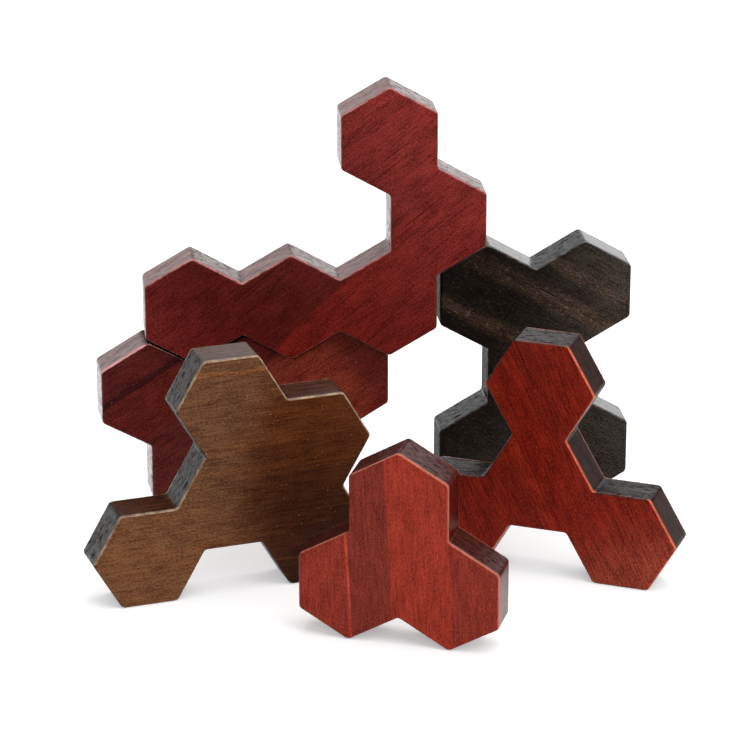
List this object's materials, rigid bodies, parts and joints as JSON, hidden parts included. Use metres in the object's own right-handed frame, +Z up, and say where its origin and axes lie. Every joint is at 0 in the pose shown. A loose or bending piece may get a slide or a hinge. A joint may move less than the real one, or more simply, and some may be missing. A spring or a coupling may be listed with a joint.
{
  "type": "polyhex wooden puzzle block set",
  "caption": "Loose flat wooden puzzle blocks made of joined hexagon cells, stood on edge: a nested back row with a hook-shaped block across it, and more blocks standing in front.",
  "frame": {"origin": "on the table, under the middle of the bounding box of the whole group", "axes": "+Z up, +X to the right along the back row as seen from the front, +Y to the back of the group"},
  "size_m": [0.1402, 0.1016, 0.1085],
  "materials": {
    "wedge_stain": "dark maroon stain with redder bands under satin lacquer; sawn edges greyer",
    "hourglass_stain": "near-black brown stain with tan flecks under satin lacquer; sawn edges grey",
    "hook_stain": "maroon stain with one lighter red diagonal band under satin lacquer; sawn edges pinkish grey",
    "mitten_stain": "walnut brown stain, darker to the lower right, under satin lacquer; sawn edges grey",
    "triangle_stain": "brick red stain with upright bands under satin lacquer; sawn edges dark",
    "tripod_stain": "orange-red stain with fine dark streaks under satin lacquer; sawn edges grey"
  },
  "bodies": {
    "wedge": {"wedge_block": "wedge_stain"},
    "hook": {"hook_block": "hook_stain"},
    "hourglass": {"hourglass_block": "hourglass_stain"},
    "mitten": {"mitten_block": "mitten_stain"},
    "triangle": {"triangle_block": "triangle_stain"},
    "tripod": {"tripod_block": "tripod_stain"}
  },
  "joints": [
    {"name": "hook_lift", "type": "slide", "parent": "wedge", "child": "hook", "axis": [0, 0, 1], "range_m": [0, 0.07]},
    {"name": "hourglass_slide", "type": "slide", "parent": "wedge", "child": "hourglass", "axis": [0.991, 0.134, 0], "range_m": [0, 0.06]},
    {"name": "mitten_lift", "type": "slide", "parent": "wedge", "child": "mitten", "axis": [0, 0, 1], "range_m": [0, 0.115]},
    {"name": "triangle_lift", "type": "slide", "parent": "wedge", "child": "triangle", "axis": [0, 0, 1], "range_m": [0, 0.115]},
    {"name": "tripod_lift", "type": "slide", "parent": "wedge", "child": "tripod", "axis": [0, 0, 1], "range_m": [0, 0.115]}
  ]
}
